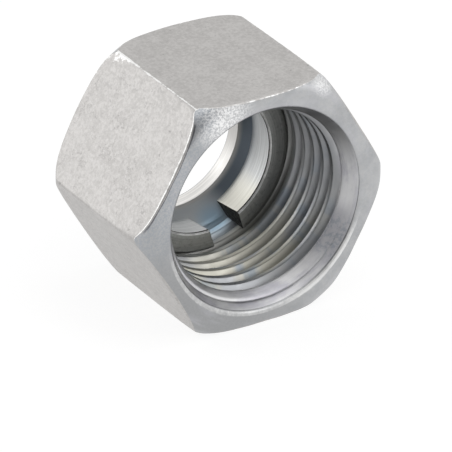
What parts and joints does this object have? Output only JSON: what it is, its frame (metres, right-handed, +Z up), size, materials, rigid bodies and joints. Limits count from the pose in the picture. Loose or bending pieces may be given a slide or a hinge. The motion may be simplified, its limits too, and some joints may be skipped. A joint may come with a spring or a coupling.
{
  "type": "swivel nut",
  "caption": "Forged hexagon swivel nut with an internal metric thread at one end, a split retaining ring seated inside and a tube hole in the collar.",
  "frame": {"origin": "middle of the flat that the nut lies on", "axes": "+Y along the bore, from the threaded mouth to the collar; +Z up, out of the opposite flat; +X across two corners"},
  "size_m": [0.0252, 0.0164, 0.0218],
  "materials": {
    "zinc_plated_steel": "satin",
    "ring_steel": "satin"
  },
  "bodies": {
    "root": {"hex_nut": "zinc_plated_steel", "retaining_ring": "ring_steel"}
  },
  "joints": []
}
